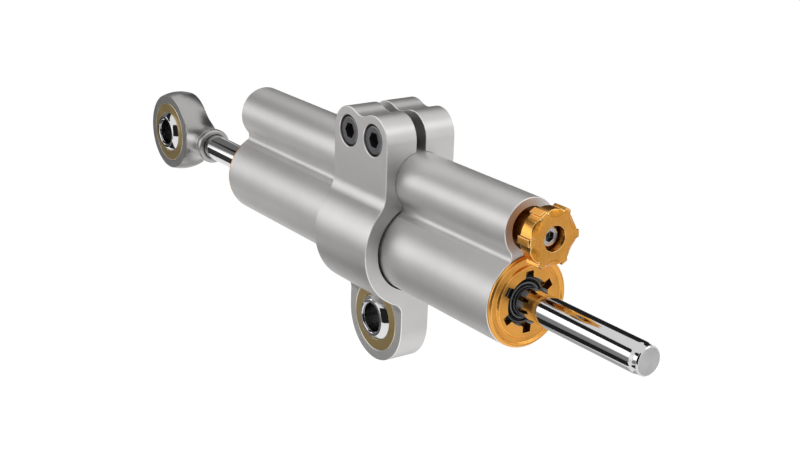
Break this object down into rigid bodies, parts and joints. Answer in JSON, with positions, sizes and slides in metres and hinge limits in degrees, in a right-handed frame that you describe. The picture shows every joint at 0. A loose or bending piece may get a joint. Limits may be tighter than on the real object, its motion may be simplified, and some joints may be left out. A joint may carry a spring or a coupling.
{
  "type": "motorcycle steering damper",
  "caption": "Linear steering damper: through rod in an alloy cylinder with a valve tube alongside, click knob, split frame clamp with bearing lug, and spherical rod end.",
  "frame": {"origin": "centre of the spherical bearing in the clamp's lug", "axes": "+X along the rod towards the adjuster knob, +Y along both bearing bores away from the clamp screws' heads, +Z from the lug up to the valve tube"},
  "size_m": [0.2394, 0.034, 0.0725],
  "materials": {
    "body_alloy": "satin bead-blasted and clear anodised",
    "clamp_alloy": "satin bead-blasted and clear anodised",
    "eye_alloy": "satin machined",
    "plain_alloy": "turned",
    "gold_alloy": "gold anodised, semi-gloss",
    "rod_chrome": "hard chromed, ground and polished",
    "ball_chrome": "hardened, ground and polished",
    "race_bronze": "turned bearing bronze",
    "bush_bronze": "sintered bearing bronze",
    "screw_steel": "blackened steel",
    "bright_steel": "bright stainless steel",
    "valve_brass": "turned brass",
    "seal_rubber": "black nitrile",
    "wiper_plastic": "glossy black polyurethane",
    "band_plastic": "filled fluoropolymer"
  },
  "bodies": {
    "clamp": {"clamp_bracket": "clamp_alloy", "clamp_screws": "screw_steel", "lug_race": "race_bronze"},
    "lug_bearing": {"lug_ball": "ball_chrome"},
    "cylinder": {"damper_body": "body_alloy", "front_gland": "gold_alloy", "rear_gland": "gold_alloy", "gland_o_rings": "seal_rubber", "rod_bushes": "bush_bronze", "rod_seals": "seal_rubber", "seal_washers": "bright_steel", "front_wiper": "wiper_plastic", "rear_wiper": "wiper_plastic", "adjuster_bush": "plain_alloy", "adjuster_o_rings": "seal_rubber", "valve_seat": "valve_brass", "valve_seat_o_ring": "seal_rubber", "detent_ball": "ball_chrome", "detent_spring": "bright_steel", "reservoir_plug": "plain_alloy", "plug_o_ring": "seal_rubber", "reservoir_circlip": "screw_steel", "compensator_spring": "bright_steel"},
    "damping_piston": {"piston": "plain_alloy", "piston_band": "band_plastic", "piston_o_ring": "seal_rubber"},
    "rod": {"piston_rod": "rod_chrome", "snap_rings": "screw_steel", "rod_end": "eye_alloy", "rod_end_race": "race_bronze"},
    "rod_end_bearing": {"rod_end_ball": "ball_chrome"},
    "adjuster": {"adjuster_knob": "gold_alloy", "knob_screw": "bright_steel", "adjuster_shaft": "bright_steel"},
    "needle": {"metering_needle": "bright_steel"},
    "separator": {"separator_piston": "plain_alloy", "separator_o_ring": "seal_rubber"}
  },
  "joints": [
    {"name": "lug_swivel", "type": "hinge", "parent": "clamp", "child": "lug_bearing", "pos_m": [0, 0, 0], "axis": [0, 1, 0], "continuous": true},
    {"name": "clamp_position", "type": "slide", "parent": "clamp", "child": "cylinder", "axis": [1, 0, 0], "range_m": [-0.04, 0.05]},
    {"name": "piston_stroke", "type": "slide", "parent": "cylinder", "child": "damping_piston", "axis": [1, 0, 0], "range_m": [-0.039, 0.029]},
    {"name": "rod_rotation", "type": "hinge", "parent": "damping_piston", "child": "rod", "pos_m": [0, 0, 0.0237], "axis": [1, 0, 0], "continuous": true},
    {"name": "rod_end_swivel", "type": "hinge", "parent": "rod", "child": "rod_end_bearing", "pos_m": [-0.1251, 0, 0.0237], "axis": [0, 1, 0], "continuous": true},
    {"name": "adjuster_turn", "type": "hinge", "parent": "cylinder", "child": "adjuster", "pos_m": [0.0581, 0, 0.04255], "axis": [1, 0, 0], "range_deg": [-270, 270]},
    {"name": "needle_feed", "type": "slide", "parent": "cylinder", "child": "needle", "axis": [1, 0, 0], "range_m": [-0.00044, 0.00044]},
    {"name": "separator_travel", "type": "slide", "parent": "cylinder", "child": "separator", "axis": [1, 0, 0], "range_m": [-0.0045, 0.0012], "stiffness_N_per_m": 900, "deforming": ["compensator_spring"]}
  ],
  "couplings": [
    {"joint": "needle_feed", "follows": "adjuster_turn", "m_per_rad": 0.000079577}
  ]
}
